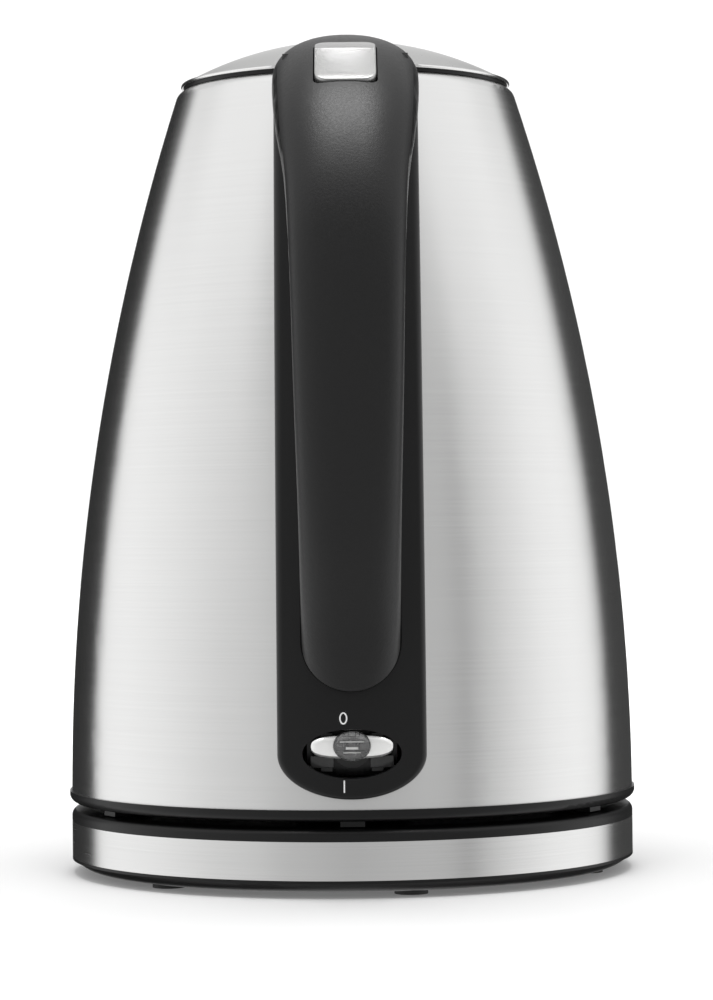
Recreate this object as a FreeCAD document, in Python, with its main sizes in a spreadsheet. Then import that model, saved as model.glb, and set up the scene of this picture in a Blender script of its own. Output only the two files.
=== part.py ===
import FreeCAD, Part
import math
import os
import re

import Sketcher
from FreeCAD import Placement, Rotation, Vector

# Electric kettle: a cordless steel jug that turns and lifts on a round power base.
# Frame: origin on the table at the base's axis, +Z up, handle towards -Y, spout towards +Y.
# Lengths are millimetres and angles are degrees.

DIMENSIONS = {
    # power base
    "base_radius": 80.0, "base_floor": 1.4, "base_wall": 2.0, "base_edge_flat": 75.0,
    "band_low": 4.8, "band_high": 15.0, "band_wall": 0.7, "base_top": 18.6,
    "rim_level": 16.4, "rim_edge": 79.0, "rim_edge_level": 18.1,
    "foot_radius": 4.5, "foot_circle": 68.5, "foot_recess": 0.8,
    "gland_bore": 3.5, "gland_level": 9.0, "gland_half": 6.0, "gland_rise": 8.4,
    "base_screw_circle": 50.0,
    # connector between base and jug
    "plug_radius": 15.5, "plug_top": 28.6, "plug_bore": 4.6, "plug_floor": 14.2,
    "groove_inner": 9.5, "groove_outer": 12.0, "groove_floor": 18.0,
    "socket_inner": 16.2, "socket_outer": 18.2, "socket_low": 21.0, "socket_high": 31.0,
    "pin_radius": 3.0, "contact_inner": 10.3, "contact_outer": 10.9,
    # jug shell: one long arc of revolution from the foot to the shoulder
    "ring_radius": 80.6, "ring_low": 20.3, "ring_high": 23.4, "tab_bottom": 18.7,
    "body_radius": 80.0, "arc_radius": 650.0, "arc_level": 20.0, "body_wall": 0.8,
    "body_low": 23.4, "shoulder_low": 219.6, "shoulder_high": 222.2, "shoulder_radius": 45.2,
    "shoulder_round": 3.6,
    "mouth_inner": 41.5, "mouth_edge": 46.2, "mouth_top": 223.4, "mouth_low": 214.0,
    # spout
    "spout_tip": 78.3, "spout_low": 150.0, "spout_half_angle": 35.0, "spout_tip_round": 6.0,
    "window_low": 166.0, "window_high": 213.0, "window_half": 21.0,
    # heater and control under the water space
    "heater_top": 49.3, "plate_radius": 76.4, "diffuser_radius": 60.0, "diffuser_top": 48.5,
    "diffuser_wall": 3.0, "element_circle": 44.0, "element_radius": 3.5,
    # lid
    "lid_apex": 236.0, "lid_edge": 45.6, "lid_edge_level": 224.3, "lid_radius": 47.1,
    "lid_low": 223.5, "lid_wall": 0.8, "lid_plug_radius": 40.5, "lid_plug_low": 215.5,
    "hinge_y": -42.5, "hinge_z": 226.0, "hinge_pin": 1.2, "hinge_barrel": 2.2,
    "hinge_relief": 6.8, "knuckle_near": 4.3, "knuckle_far": 7.9, "notch_half": 16.7,
    "hinge_pin_near": 3.4, "hinge_pin_far": 9.8,
    # panel and handle
    "panel_half": 19.6, "panel_depth": 4.0, "panel_low_centre": 38.1, "panel_low_drop": 11.8,
    "pocket_floor": 1.2, "pocket_top": 84.0, "handle_gap": 0.4,
    "crest_y": -56.5, "crest_centre": 160.0, "crest_radius": 69.5, "nose_y": -36.5,
    "grip_end_radius": 12.9, "grip_end_level": 67.8, "grip_wall": 2.4, "parting_depth": 7.0,
    # lid button and latch
    "button_angle": 33.5, "button_half": 8.0, "button_length": 22.6, "button_depth": 6.0,
    "button_shift": 0.7, "button_corner": 1.8, "button_proud": 0.7, "latch_half": 3.0,
    "latch_low": 224.4, "latch_high": 226.2,
    "latch_foot": 203.5, "ramp_angle": 28.25,
    # switch
    "switch_level": 38.35, "switch_hole_half": 13.0, "switch_hole_rise": 6.45,
    "lever_pivot_y": -73.0, "lever_tilt": 11.2, "lever_half": 11.0, "lever_rise": 3.15,
    "lens_radius": 4.2,
}
FOOT_TURN = 13.0
FOOT_COUNT = 6
SCREW_COUNT = 3
GLAND_TURN = 163.0
CONTACT_GAP = 0.15

document = FreeCAD.newDocument("ElectricKettle")
sheet = document.addObject("Spreadsheet::Sheet", "Dims")
subparts = {}


def fill_sheet():
    """Write every driving dimension to the sheet as a named cell."""
    for row, (alias, number) in enumerate(DIMENSIONS.items(), start=1):
        sheet.set(f"A{row}", alias)
        sheet.set(f"B{row}", str(number))
        sheet.setAlias(f"B{row}", alias)
    document.recompute()


def linked(text):
    """Turn plain aliases in an expression into references to the sheet."""
    return re.sub(r"[a-z]\w*", lambda word: f"Dims.{word[0]}" if word[0] in DIMENSIONS else word[0],
                  str(text))


def value(text):
    """Evaluate an expression of sheet aliases to a number."""
    return float(sheet.evalExpression(linked(text)))


def is_zero(text):
    """Tell whether an expression is the literal zero."""
    return str(text) == "0"


def body_at(level, offset="0"):
    """Expression for the jug's outer radius at a level, on an arc grown by an offset."""
    return (f"(body_radius - arc_radius + sqrt((arc_radius + ({offset}))^2"
            f" - ({level} - arc_level)^2))")


def bind(item, prop, text):
    """Bind one property to an expression of the sheet."""
    item.setExpression(prop, linked(text))


def place(item, x, y, z, turn=Rotation()):
    """Place an object at bound coordinates, with a fixed rotation."""
    item.Placement = Placement(Vector(value(x), value(y), value(z)), turn)
    for axis, text in zip("xyz", (x, y, z)):
        bind(item, f".Placement.Base.{axis}", text)
    return item


ALONG_X = Rotation(Vector(0, 1, 0), 90)
ALONG_Y = Rotation(Vector(1, 0, 0), -90)
UPRIGHT = Rotation()


def box(x_span, y_span, z_span):
    """A block between bound limits."""
    item = document.addObject("Part::Box", "Block")
    for prop, (low, high) in zip(("Length", "Width", "Height"), (x_span, y_span, z_span)):
        bind(item, prop, f"({high}) - ({low})")
    return place(item, x_span[0], y_span[0], z_span[0])


def slab(half_width, y_span, z_span):
    """A block centred on x = 0."""
    return box((f"0 - ({half_width})", half_width), y_span, z_span)


def cylinder(radius, length, x=0, y=0, z=0, turn=UPRIGHT):
    """A round bar from a bound start point along the turned Z axis."""
    item = document.addObject("Part::Cylinder", "Bar")
    bind(item, "Radius", radius)
    bind(item, "Height", length)
    return place(item, x, y, z, turn)


def cut(base, *tools):
    """Subtract one or more objects from a base."""
    for tool in tools:
        item = document.addObject("Part::Cut", "Cut")
        item.Base = base
        item.Tool = tool
        base = item
    return base


def fuse(*items):
    """Join objects into one solid or one group of solids."""
    item = document.addObject("Part::MultiFuse", "Join")
    item.Shapes = list(items)
    item.Refine = False
    return item


def common(*items):
    """Keep what all the objects share."""
    item = document.addObject("Part::MultiCommon", "Shared")
    item.Shapes = list(items)
    return item


def ring(outer, inner, low, high):
    """A plain ring about the Z axis between two levels."""
    bore = cylinder(inner, f"({high}) - ({low}) + 2", z=f"({low}) - 1")
    return cut(cylinder(outer, f"({high}) - ({low})", z=low), bore)


def subpart(label, item):
    """Register an object as a finished sub-part under its node name."""
    item.Label = label
    subparts[label] = item
    return item


def arc_between(start, end, bend):
    """Circle arc from start to end; a positive bend runs anticlockwise."""
    radius = abs(bend)
    chord = end - start
    side = Vector(-chord.y, chord.x, 0).normalize() * math.copysign(1.0, bend)
    centre = (start + end) * 0.5 + side * math.sqrt(radius ** 2 - chord.Length ** 2 / 4)
    first, last = (start, end) if bend > 0 else (end, start)
    angles = [math.atan2(point.y - centre.y, point.x - centre.x) for point in (first, last)]
    return Part.ArcOfCircle(Part.Circle(centre, Vector(0, 0, 1), radius), *angles)


def pin_vertex(sketch, edge, end, number, point):
    """Fix one sketch vertex at two bound coordinates."""
    for index, (kind, text) in enumerate(zip(("DistanceX", "DistanceY"), point)):
        if is_zero(text):
            axis = -2 if index == 0 else -1
            sketch.addConstraint(Sketcher.Constraint("PointOnObject", edge, end, axis))
            continue
        made = sketch.addConstraint(Sketcher.Constraint(kind, -1, 1, edge, end, value(text)))
        name = f"{kind}_{number}"
        sketch.renameConstraint(made, name)
        sketch.setExpression(f"Constraints.{name}", linked(text))


def draw_outline(sketch, outline):
    """Draw a closed outline of (x, y) or (x, y, bend) expressions in a sketch.

    The bend is the radius of the arc that leaves the point: positive runs anticlockwise.
    """
    points = [Vector(value(corner[0]), value(corner[1]), 0) for corner in outline]
    count = len(outline)
    starts = []
    for index, corner in enumerate(outline):
        following = points[(index + 1) % count]
        if len(corner) == 2:
            sketch.addGeometry(Part.LineSegment(points[index], following), False)
            starts.append((1, 2))
            continue
        bend = value(corner[2])
        sketch.addGeometry(arc_between(points[index], following, bend), False)
        starts.append((1, 2) if bend > 0 else (2, 1))
        made = sketch.addConstraint(Sketcher.Constraint("Radius", index, abs(bend)))
        sketch.renameConstraint(made, f"Bend_{index}")
        sketch.setExpression(f"Constraints.Bend_{index}", linked(f"abs({corner[2]})"))
    for index in range(count):
        after = (index + 1) % count
        joint = Sketcher.Constraint("Coincident", index, starts[index][1], after, starts[after][0])
        sketch.addConstraint(joint)
    for index, corner in enumerate(outline):
        pin_vertex(sketch, index, starts[index][0], index, corner[:2])


def turned(name, outline):
    """A PartDesign body: the outline of (radius, level) corners turned about Z."""
    body = document.addObject("PartDesign::Body", name)
    sketch = body.newObject("Sketcher::SketchObject", f"{name}Outline")
    plane = [item for item in body.Origin.OriginFeatures if item.Role == "XZ_Plane"][0]
    sketch.AttachmentSupport = [(plane, "")]
    sketch.MapMode = "FlatFace"
    draw_outline(sketch, outline)
    turn = body.newObject("PartDesign::Revolution", f"{name}Turn")
    turn.Profile = sketch
    turn.ReferenceAxis = (sketch, ["V_Axis"])
    turn.Angle = 360
    body.Tip = turn
    return body


def body_layer(name, low, high, inner, outer):
    """A turned layer that follows the jug's wall between two offsets of it."""
    return turned(name, [
        (body_at(low, inner), low), (body_at(low, outer), low, f"arc_radius + ({outer})"),
        (body_at(high, outer), high), (body_at(high, inner), high, f"0 - arc_radius - ({inner})")])


def around(angle, radius):
    """Point on a circle; the angle runs from -Y towards +X."""
    turn = math.radians(angle)
    return radius * math.sin(turn), -radius * math.cos(turn)


# ---------------------------------------------------------------- power base

def make_base_covers():
    """Bottom tray, steel band and top cover of the power base."""
    inside = "base_radius - band_wall"
    tray = turned("BaseTray", [
        (0, "base_floor"), ("base_edge_flat", "base_floor", "8"), (inside, "band_low - 0.6"),
        (inside, "9"), (f"{inside} - base_wall", "9"),
        (f"{inside} - base_wall", "base_floor + base_wall"), (0, "base_floor + base_wall")])
    lip = ring("base_radius", "base_radius - band_wall - 0.5", "band_low - 0.8", "band_low")
    recesses, holes, bosses = [], [], []
    for index in range(FOOT_COUNT):
        x, y = around(FOOT_TURN + 60 * index, value("foot_circle"))
        recesses.append(cylinder("foot_radius", "foot_recess", x, y, "base_floor"))
    for index in range(SCREW_COUNT):
        x, y = around(FOOT_TURN + 120 * index, value("base_screw_circle"))
        holes.append(cylinder(1.6, "base_wall", x, y, "base_floor"))
        holes.append(cylinder(3.2, 1.0, x, y, "base_floor"))
        post = cylinder(4.0, "base_top - base_floor - base_wall - 1", x, y, "base_floor + base_wall")
        bosses.append(cut(post, cylinder(1.5, 8, x, y, "base_floor + base_wall")))
    gland_gap = gland_block("gland_half", "gland_rise")
    subpart("base_bottom_cover", cut(fuse(tray, lip), gland_gap, *recesses, *holes))

    cover = turned("BaseTop", [
        ("plug_radius + 0.1", "base_top - base_wall"), (f"{inside} - base_wall", "base_top - base_wall"),
        (f"{inside} - base_wall", "9"), (inside, "9"), (inside, "band_high"),
        ("base_radius", "band_high"), ("base_radius", "rim_level", "1.9"),
        ("rim_edge", "rim_edge_level"), ("base_edge_flat", "base_top"),
        ("plug_radius + 0.1", "base_top")])
    subpart("base_top_cover", cut(fuse(cover, *bosses), gland_block("gland_half", "gland_rise")))
    band = ring("base_radius", inside, "band_low", "band_high")
    subpart("base_band", cut(band, gland_block("gland_half", "gland_rise")))


def gland_block(half, rise):
    """Block through the base wall at the cord outlet."""
    x, y = around(GLAND_TURN, 1.0)
    turn = Rotation(Vector(0, 0, 1), math.degrees(math.atan2(y, x)))
    item = document.addObject("Part::Box", "Outlet")
    bind(item, "Length", 10)
    bind(item, "Width", f"2 * ({half})")
    bind(item, "Height", rise)
    inner = value("base_radius") - 9
    shift = turn.multVec(Vector(inner, -value(half), 0))
    return place(item, shift.x, shift.y, "band_low", turn)


def make_cord_gland():
    """Bush in the base wall that the mains cord leaves through."""
    x, y = around(GLAND_TURN, 1.0)
    turn = Rotation(Vector(0, 0, 1), Vector(x, y, 0))
    inner = value("base_radius") - 12
    block = common(gland_block("gland_half", "gland_rise"),
                   cylinder("base_radius - 0.1", 20))
    bore = cylinder("gland_bore", 20, inner * x, inner * y, "gland_level", turn)
    subpart("cord_gland", cut(block, bore))


def make_feet():
    """Six rubber feet in recesses under the base."""
    for index in range(FOOT_COUNT):
        x, y = around(FOOT_TURN + 60 * index, value("foot_circle"))
        foot = cylinder("foot_radius", "base_floor + foot_recess", x, y, 0)
        subpart(f"foot_{index + 1}", foot)


def screw(x, y, low, head, shank, length, turn=UPRIGHT, thick=1.0):
    """A screw: a round head and a plain shank along the turned Z axis."""
    start = Vector(value(x), value(y), value(low))
    neck = start + turn.multVec(Vector(0, 0, value(thick)))
    return fuse(cylinder(head, thick, start.x, start.y, start.z, turn),
                cylinder(shank, length, neck.x, neck.y, neck.z, turn))


def make_base_screws():
    """Screws that hold the bottom tray to the top cover."""
    screws = []
    for index in range(SCREW_COUNT):
        x, y = around(FOOT_TURN + 120 * index, value("base_screw_circle"))
        screws.append(screw(x, y, "base_floor", 3.2, 1.5, 8.6))
    subpart("base_screws", fuse(*screws))


def make_base_connector():
    """Male connector in the middle of the base, with its three contacts."""
    subpart("base_connector", turned("BaseConnector", [
        ("plug_bore", "plug_floor"), ("plug_radius + 3", "plug_floor"),
        ("plug_radius + 3", "base_top - base_wall"), ("plug_radius", "base_top - base_wall"),
        ("plug_radius", "plug_top - 1.5", "1.5"), ("plug_radius - 1.5", "plug_top"),
        ("groove_outer", "plug_top"), ("groove_outer", "groove_floor"),
        ("groove_inner", "groove_floor"), ("groove_inner", "plug_top"),
        ("plug_bore", "plug_top")]))
    subpart("base_centre_contact", ring("plug_bore", "plug_bore - 0.8", "plug_floor", "plug_floor + 6"))
    subpart("base_ring_contact", ring("groove_outer", "groove_outer - 0.5", "groove_floor",
                                      "groove_floor + 5"))


# ------------------------------------------------------- connector of the jug

def make_jug_connector():
    """Female connector that drops over the base's plug."""
    subpart("jug_connector", turned("JugConnector", [
        ("socket_inner", "socket_low"), ("socket_outer", "socket_low"),
        ("socket_outer", "socket_high"), ("pin_radius", "socket_high"),
        ("pin_radius", "socket_high - 1.6"), ("socket_inner", "socket_high - 1.6")]))
    subpart("jug_centre_pin", cylinder("pin_radius", 9, z="socket_high - 9"))
    subpart("jug_contact_ring", ring("contact_outer", "contact_inner", "socket_high - 8.6",
                                     "socket_high - 1.6"))


# -------------------------------------------------------------------- jug

def spout_section(level, tip, shrink):
    """Closed V-shaped wire of the spout in plan at one level."""
    half = math.radians(value("spout_half_angle"))
    round_tip = value("spout_tip_round") - shrink
    centre_y = tip - value("spout_tip_round")
    side = Vector(math.cos(half), math.sin(half), 0) * round_tip
    right = Vector(side.x, centre_y + side.y, level)
    left = Vector(-side.x, centre_y + side.y, level)
    back_y = 27.2
    spread = (right.y - back_y) * math.tan(half)
    back_right = Vector(right.x + spread, back_y, level)
    back_left = Vector(-right.x - spread, back_y, level)
    nose = Part.Arc(right, Vector(0, centre_y + round_tip, level), left).toShape()
    edges = [Part.LineSegment(back_right, right).toShape(), nose,
             Part.LineSegment(left, back_left).toShape(),
             Part.LineSegment(back_left, back_right).toShape()]
    return Part.Wire(edges)


def spout_prow(name, shrink, top):
    """Solid prow between the low point of the ridge and the mouth."""
    low, high = value("spout_low"), value("shoulder_high")
    low_tip = value(body_at("spout_low"))
    slope = (value("spout_tip") - low_tip) / (high - low)
    tips = [low_tip - slope * 10, value("spout_tip") + slope * (top - high)]
    wires = [spout_section(low - 10, tips[0], shrink), spout_section(top, tips[1], shrink)]
    item = document.addObject("Part::Feature", name)
    item.Shape = Part.makeLoft(wires, True, True)
    item.Placement = Placement()
    return item


def make_body():
    """Steel body shell, its spout and the window between them."""
    wall = "body_wall"
    low_in = body_at("body_low", f"0 - {wall}")
    top_in = body_at(f"shoulder_low - {wall}", f"0 - {wall}")
    shell = turned("BodyShell", [
        (low_in, "body_low"), (body_at("body_low"), "body_low", "arc_radius"),
        (body_at("shoulder_low"), "shoulder_low", "shoulder_round"), ("shoulder_radius", "shoulder_high"),
        ("44.4", "shoulder_high"), ("44.4", f"shoulder_high - {wall}"),
        (top_in, f"shoulder_low - {wall}", f"{wall} - arc_radius")])
    passage = common(spout_prow("SpoutPassage", value(wall), value("shoulder_high") + 2),
                     slab("window_half", (30, 90), ("window_low", "window_high")))
    window = slab("switch_hole_half + 2", (-90, -60), ("switch_level - 8", "switch_level + 8"))
    steam = cylinder(3.0, 30, 0, -75, 203, ALONG_Y)
    subpart("body_shell", cut(shell, passage, window, steam))

    envelope = turned("BodyEnvelope", [
        (0, "body_low"), (body_at("body_low"), "body_low", "arc_radius"),
        (body_at("shoulder_low"), "shoulder_low", "shoulder_round"), ("shoulder_radius", "shoulder_high"),
        ("shoulder_radius", "shoulder_high + 4"), (0, "shoulder_high + 4")])
    outer = spout_prow("SpoutOuter", 0.0, value("shoulder_high"))
    inner = spout_prow("SpoutInner", value(wall), value("shoulder_high") + 2)
    subpart("spout", cut(outer, inner, envelope))


def make_filter():
    """Curved filter frame and mesh behind the spout window."""
    low, high = "window_low - 4", "window_high + 3"
    layer = body_layer("FilterLayer", low, high, "0 - body_wall - 1.8", "0 - body_wall")
    wedge = slab("window_half + 3", (20, 90), (low, high))
    opening = slab("window_half - 2", (20, 90), ("window_low + 2", "window_high - 2"))
    bars = [slab(0.8, (20, 90), (low, high))]
    bars.append(slab("window_half", (20, 90), ("(window_low + window_high) / 2 - 0.8",
                                               "(window_low + window_high) / 2 + 0.8")))
    frame = common(layer, fuse(cut(wedge, opening), *bars))
    subpart("spout_filter_frame", frame)
    screen = body_layer("FilterScreen", low, high, "0 - body_wall - 2.1", "0 - body_wall - 1.8")
    subpart("spout_filter_mesh", common(screen, slab("window_half", (20, 90), ("window_low", "window_high"))))


def make_mouth_ring():
    """Black ring that lines the jug's mouth and carries the lid seal's seat."""
    subpart("mouth_ring", turned("MouthRing", [
        ("mouth_inner", "mouth_low"), ("44.3", "mouth_low"), ("44.3", "shoulder_high"),
        ("mouth_edge", "shoulder_high"), ("mouth_edge", "mouth_top"), ("mouth_inner", "mouth_top")]))


def make_bottom_ring():
    """Black ring and floor that close the jug from below, with six resting tabs."""
    inner_wall = body_at("body_low", "0 - body_wall")
    floor = turned("BottomRing", [
        ("socket_outer + 1", "ring_low"), ("ring_radius - 1.6", "ring_low", "2.4"),
        ("ring_radius", "ring_low + 1.8"), ("ring_radius", "ring_high"),
        (f"{inner_wall} - 0.1", "ring_high"), (f"{inner_wall} - 0.1", "ring_high + 5"),
        (f"{inner_wall} - 2", "ring_high + 5"), (f"{inner_wall} - 2", "ring_low + 2"),
        ("socket_outer + 1", "ring_low + 2")])
    tabs = []
    for index in range(FOOT_COUNT):
        turn = Rotation(Vector(0, 0, 1), 60 * index - 90)
        corner = turn.multVec(Vector(72, -3.25, 0))
        tab = document.addObject("Part::Box", "Tab")
        bind(tab, "Length", 5)
        bind(tab, "Width", 6.5)
        bind(tab, "Height", "ring_low - tab_bottom")
        tabs.append(place(tab, corner.x, corner.y, "tab_bottom", turn))
    subpart("jug_bottom_ring", fuse(floor, *tabs))


def make_heater():
    """Heater plate, its seal, the diffuser and the ring element under it."""
    wall_in = body_at("heater_top + 1.4", "0 - body_wall")
    subpart("heater_plate", turned("HeaterPlate", [
        (0, "diffuser_top"), ("plate_radius - 0.8", "diffuser_top"),
        ("plate_radius - 0.8", "heater_top - 5"), ("plate_radius", "heater_top - 5"),
        ("plate_radius", "heater_top"), (0, "heater_top")]))
    subpart("plate_seal", ring(wall_in, "plate_radius", "heater_top - 5", "heater_top + 1.4"))
    diffuser_low = "diffuser_top - diffuser_wall"
    subpart("diffuser_plate", cylinder("diffuser_radius", "diffuser_wall", z=diffuser_low))
    coil = document.addObject("Part::Torus", "ElementRing")
    bind(coil, "Radius1", "element_circle")
    bind(coil, "Radius2", "element_radius")
    coil.Angle3 = 310
    turn = Rotation(Vector(0, 0, 1), -65)
    place(coil, 0, 0, f"{diffuser_low} - element_radius", turn)
    ends = [turn.multVec(Vector(value("element_circle"), 0, 0)),
            Rotation(Vector(0, 0, 1), 245).multVec(Vector(value("element_circle"), 0, 0))]
    pins = [cylinder(2.0, 9, end.x, end.y, f"{diffuser_low} - 9 - element_radius") for end in ends]
    subpart("heating_element", fuse(coil, *pins))


def make_control_unit():
    """Thermostat block over the jug's connector, its snap disc and its screws."""
    block = slab(26, (-22, 22), ("socket_high + 0.3", "socket_high + 9"))
    screws = [screw(x, 0, "socket_high + 2", 2.6, 1.4,
                    "diffuser_top - diffuser_wall - socket_high - 3") for x in (-22, 22)]
    passages = [cylinder(1.4, 10, x, 0, "socket_high + 3") for x in (-22, 22)]
    sinks = [cylinder(2.6, 4, x, 0, "socket_high - 1") for x in (-22, 22)]
    collar = ring("socket_outer + 2.4", "socket_outer + 0.3", "ring_low + 2.2", "socket_high + 0.3")
    subpart("control_unit", cut(fuse(block, collar), *passages, *sinks))
    subpart("control_screws", fuse(*screws))
    subpart("bimetal_disc", cylinder(9.5, 0.6, 0, 0, "socket_high + 9"))


# -------------------------------------------------------------------- lid

def dome_radius(edge, sag):
    """Expression for the sphere radius of a dome with a given edge and height."""
    return f"((({edge})^2 + ({sag})^2) / (2 * ({sag})))"


def sides(side, near, far):
    """The two x limits of a piece that lies between two distances on one side."""
    return sorted((side * value(near), side * value(far)))


def hinge_pin_pair():
    """Solids of the two short pins that the lid turns on."""
    starts = [sides(side, "hinge_pin_near", "hinge_pin_far")[0] for side in (-1, 1)]
    return [cylinder("hinge_pin", "hinge_pin_far - hinge_pin_near", x, "hinge_y", "hinge_z", ALONG_X)
            for x in starts]


def lid_notch(low):
    """Room for the handle's head and the hinge's swing."""
    return fuse(slab("notch_half", (-60, "nose_y + 0.8"), (low, "lid_apex")),
                slab("notch_half + 3.3", (-60, "hinge_y + 0.3"), (low, "lid_apex")),
                cylinder("hinge_relief", "2 * notch_half", "0 - notch_half", "hinge_y", "hinge_z", ALONG_X))


def make_lid():
    """Domed lid cap, its inner plug with hinge knuckles, and its seal."""
    outer = dome_radius("lid_edge", "lid_apex - lid_edge_level")
    cap = turned("LidCap", [
        (0, "lid_apex - lid_wall"), (0, "lid_apex", f"0 - {outer}"), ("lid_edge", "lid_edge_level"),
        ("lid_radius", "lid_low"), ("lid_radius - 1.2", "lid_low"),
        ("lid_edge - 0.9", "lid_edge_level - 0.5", f"{outer} - lid_wall")])
    subpart("lid_cap", cut(cap, lid_notch("lid_low - 1")))

    plug = turned("LidPlug", [
        (0, "lid_plug_low"), ("lid_plug_radius", "lid_plug_low"),
        ("lid_plug_radius", "lid_low + 0.05"), ("44", "lid_low + 0.05"), ("44", "lid_edge_level - 0.2"),
        ("lid_plug_radius", "lid_edge_level + 0.9"), ("lid_plug_radius - 2", "lid_edge_level + 0.9"),
        ("lid_plug_radius - 2", "lid_plug_low + 2"), (0, "lid_plug_low + 2")])
    arms = []
    for side in (-1, 1):
        near, far = sides(side, "knuckle_near", "knuckle_far")
        arm = box((near, far), ("hinge_y", -31), ("lid_edge_level", "hinge_z + 0.7"))
        barrel = cylinder("hinge_barrel", far - near, near, "hinge_y", "hinge_z", ALONG_X)
        bore = cylinder("hinge_pin + 0.05", far - near + 2, near - 1, "hinge_y", "hinge_z", ALONG_X)
        strut = box((near, far), (-34, -31), ("lid_plug_low + 2", "lid_edge_level"))
        arms.append(fuse(cut(fuse(arm, barrel), bore), strut))
    keeper = slab("latch_half + 1.5", ("nose_y + 0.8", -31), ("lid_plug_low + 2", "latch_low - 0.5"))
    plug_cut = cut(plug, lid_notch("lid_low - 1"))
    subpart("lid_inner", fuse(plug_cut, keeper, *arms))
    seal = ring("mouth_inner - 0.3", "lid_plug_radius", "lid_low - 2", "lid_low - 0.1")
    subpart("lid_seal", cut(seal, lid_notch("lid_low - 4")))


# -------------------------------------------------------- panel and handle

def make_panel():
    """Black panel up the jug's back with the switch hole and the handle's pocket."""
    low = "panel_low_centre - panel_low_drop - 1"
    layer = body_layer("PanelLayer", low, "shoulder_high", "0", "panel_depth")
    strip = slab("panel_half", (-120, -30), ("panel_low_centre", "shoulder_high"))
    rounded = oval("panel_half", "panel_low_drop", "panel_low_centre")
    panel = common(layer, fuse(strip, rounded))
    floor = body_layer("PocketFloor", "50", "90", "pocket_floor", "panel_depth + 6")
    gap = "grip_end_radius + handle_gap"
    slot = fuse(slab(gap, (-120, -30), ("grip_end_level", "pocket_top")),
                cylinder(gap, 90, 0, -120, "grip_end_level", ALONG_Y))
    duct = common(body_layer("SteamDuct", "48", "206", "-0.1", "panel_depth - 1.6"),
                  slab(4, (-120, -30), (46, 53)))
    upper_duct = common(body_layer("SteamDuctHigh", "84", "206", "-0.1", "panel_depth - 1.6"),
                        slab(4, (-120, -30), (86, 206)))
    hole = oval("switch_hole_half", "switch_hole_rise", "switch_level")
    subpart("back_panel", cut(panel, common(floor, slot), duct, upper_duct, hole))


def oval(half, rise, level):
    """Elliptical bar along Y through the jug's back at a level."""
    face = document.addObject("Part::Ellipse", "Oval")
    bind(face, "MajorRadius", half)
    bind(face, "MinorRadius", rise)
    place(face, 0, -40, level, Rotation(Vector(1, 0, 0), 90))
    bar = document.addObject("Part::Extrusion", "OvalBar")
    bar.Base = face
    bar.DirMode = "Custom"
    bar.Dir = Vector(0, -1, 0)
    bar.LengthFwd = 80
    bar.Solid = True
    return bar


def handle_stations():
    """Stations down the handle: point on the outer curve, inward normal and section sizes."""
    crest = Vector(0, value("crest_y"), value("crest_centre"))
    radius = value("crest_radius")
    stations = [(Vector(0, -28, 225.0), Vector(0, 0.12, -1), 19.5, 18, 2.3),
                (Vector(0, -42, 228.2), Vector(0, 0.08, -1), 19.5, 21, 2.2)]
    arc_sizes = [(0, 19.5, 24, 2.2), (18, 19.4, 25, 2.2), (35, 18.9, 25, 2.3), (50, 17.7, 23, 2.4),
                 (64, 15.9, 20, 2.5), (78, 15.0, 18, 2.6), (90, 14.5, 17, 2.7)]
    for angle, half, thick, power in arc_sizes:
        turn = math.radians(angle)
        outward = Vector(0, -math.sin(turn), math.cos(turn))
        stations.append((crest + outward * radius, outward * -1, half, thick, power))
    start = crest + Vector(0, -radius, 0)
    handles = [start, start + Vector(0, 0, -32), Vector(0, -112, 80), Vector(0, -76, 46)]
    curve = Part.BezierCurve()
    curve.setPoles(handles)
    lower_sizes = [(0.22, 14.0, 16.5), (0.42, 13.5, 16.5), (0.6, 13.1, 17), (0.78, 12.95, 18),
                   (1.0, 12.9, 19)]
    for fraction, half, thick in lower_sizes:
        tangent = curve.tangent(fraction)[0]
        inward = Vector(0, -tangent.z, tangent.y)
        stations.append((curve.value(fraction), inward, half, thick, 2.8))
    return stations


def section_wire(station, inset):
    """Closed rounded section of the handle, shrunk by an inset."""
    point, inward, half, thick, power = station
    middle = point + inward * (thick / 2)
    wide, deep = half - inset, thick / 2 - inset
    points = []
    for step in range(24):
        turn = 2 * math.pi * step / 24
        across = math.copysign(abs(math.cos(turn)) ** (2 / power), math.cos(turn)) * wide
        along = math.copysign(abs(math.sin(turn)) ** (2 / power), math.sin(turn)) * deep
        points.append(middle + Vector(across, 0, 0) - inward * along)
    curve = Part.BSplineCurve()
    curve.interpolate(points, PeriodicFlag=True)
    return Part.Wire([curve.toShape()])


def handle_loft(name, inset, stations):
    """Smooth solid through the handle's sections."""
    item = document.addObject("Part::Feature", name)
    item.Shape = Part.makeLoft([section_wire(station, inset) for station in stations], True, False)
    item.Placement = Placement()
    return item


def side_prism(name, edges, half):
    """Solid of a side outline in the YZ plane, spread to both sides of x = 0."""
    face = Part.Face(Part.Wire(edges))
    face.translate(Vector(-half, 0, 0))
    item = document.addObject("Part::Feature", name)
    item.Shape = face.extrude(Vector(2 * half, 0, 0))
    item.Placement = Placement()
    return item


def line(start, end):
    """Straight edge between two points of the YZ plane."""
    return Part.LineSegment(Vector(0, *start), Vector(0, *end)).toShape()


def arc(start, middle, end):
    """Arc edge through three points of the YZ plane."""
    return Part.Arc(Vector(0, *start), Vector(0, *middle), Vector(0, *end)).toShape()


def handle_root():
    """Neck that carries the head of the handle on the jug's back."""
    edges = [line((-40, 224), (-78, 222)), line((-78, 222), (-84, 205)),
             arc((-84, 205), (-71, 199), (-58, 184)), line((-58, 184), (-40, 184)),
             line((-40, 184), (-40, 224))]
    return side_prism("HandleRoot", edges, 16.5)


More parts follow.
